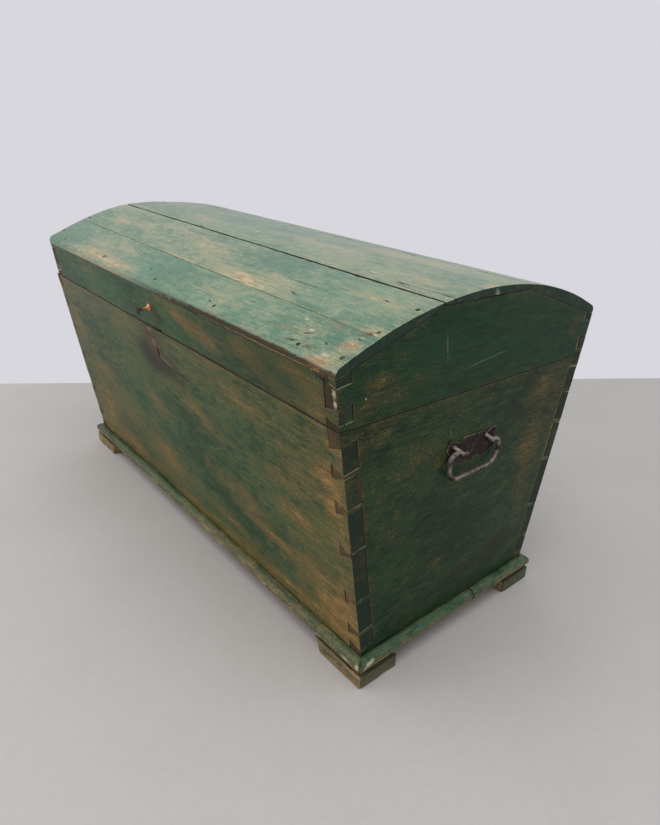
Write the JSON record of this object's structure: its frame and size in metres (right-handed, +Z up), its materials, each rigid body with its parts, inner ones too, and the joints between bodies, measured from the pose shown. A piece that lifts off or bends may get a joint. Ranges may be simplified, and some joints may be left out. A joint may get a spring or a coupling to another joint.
{
  "type": "dome-topped chest",
  "caption": "Painted pine chest with leaning dovetailed sides, a hinged domed lid of boards, iron bail handles on the ends, an inside lock and a moulded base on block feet.",
  "frame": {"origin": "on the floor, under the middle of the chest's overall length and depth", "axes": "+X along the chest towards its right end, seen from the front; -Y is the front; +Z up"},
  "size_m": [1.2, 0.7104, 0.7089],
  "materials": {
    "painted_box_boards": "matt green paint worn through to brown wood along the grain",
    "painted_end_boards": "matt dark green paint with brown scuffs",
    "painted_dome_boards": "satin grey-green paint, chalky and rubbed, with ochre patches",
    "painted_base": "matt green paint chipped along the edges",
    "raw_pine": "bare aged pine",
    "forged_iron": "rusty black wrought iron",
    "handle_iron": "brown-black iron with rubbed bright edges",
    "old_brass": "dull reddish brass, bright where it is handled"
  },
  "bodies": {
    "chest": {"box_front_board": "painted_box_boards", "box_back_board": "painted_box_boards", "box_right_end": "painted_end_boards", "box_left_end": "painted_end_boards", "bottom_board_1": "raw_pine", "bottom_board_2": "raw_pine", "bottom_board_3": "raw_pine", "base_moulding_front": "painted_base", "base_moulding_back": "painted_base", "base_moulding_left": "painted_base", "base_moulding_right_near": "painted_base", "base_moulding_right_far": "painted_base", "foot_front_right": "painted_base", "foot_back_right": "painted_base", "foot_front_left": "painted_base", "foot_back_left": "painted_base", "hinge_left_box_strap": "forged_iron", "hinge_left_pin": "forged_iron", "hinge_right_box_strap": "forged_iron", "hinge_right_pin": "forged_iron", "lock_case": "forged_iron", "lock_spring": "forged_iron", "handle_right_plate": "handle_iron", "handle_right_eye_front": "handle_iron", "handle_right_eye_back": "handle_iron", "handle_right_nail_1": "handle_iron", "handle_right_nail_2": "handle_iron", "handle_left_plate": "handle_iron", "handle_left_eye_front": "handle_iron", "handle_left_eye_back": "handle_iron", "handle_left_nail_1": "handle_iron", "handle_left_nail_2": "handle_iron"},
    "lid": {"lid_front_board": "painted_box_boards", "lid_back_board": "painted_box_boards", "lid_right_end": "painted_end_boards", "lid_left_end": "painted_end_boards", "dome_board_front_lower": "painted_dome_boards", "dome_board_front_upper": "painted_dome_boards", "dome_board_top": "painted_dome_boards", "dome_board_back": "painted_dome_boards", "lid_nail_front_1": "forged_iron", "lid_nail_front_2": "forged_iron", "lid_nail_front_3": "forged_iron", "lid_nail_front_4": "forged_iron", "lid_nail_front_5": "forged_iron", "lid_nail_right_1": "forged_iron", "lid_nail_right_2": "forged_iron", "lid_nail_right_3": "forged_iron", "lid_nail_right_4": "forged_iron", "lid_nail_left_1": "forged_iron", "lid_nail_left_2": "forged_iron", "lid_nail_left_3": "forged_iron", "hinge_left_lid_strap": "forged_iron", "hinge_right_lid_strap": "forged_iron", "lid_staple": "forged_iron", "lid_knob": "old_brass"},
    "right_bail": {"handle_right_bail": "handle_iron"},
    "left_bail": {"handle_left_bail": "handle_iron"},
    "lock_bolt": {"lock_bolt": "forged_iron"}
  },
  "joints": [
    {"name": "lid_hinge", "type": "hinge", "parent": "chest", "child": "lid", "pos_m": [0, 0.34749, 0.5292], "axis": [-1, 0, 0], "range_deg": [0, 105]},
    {"name": "right_bail_swing", "type": "hinge", "parent": "chest", "child": "right_bail", "pos_m": [0.5923, 0.00619, 0.417], "axis": [0, -1, 0], "range_deg": [-5, 178]},
    {"name": "left_bail_swing", "type": "hinge", "parent": "chest", "child": "left_bail", "pos_m": [-0.5923, 0.00619, 0.417], "axis": [0, 1, 0], "range_deg": [-5, 178]},
    {"name": "lock_bolt_slide", "type": "slide", "parent": "chest", "child": "lock_bolt", "axis": [1, 0, 0], "range_m": [0, 0.014]}
  ]
}
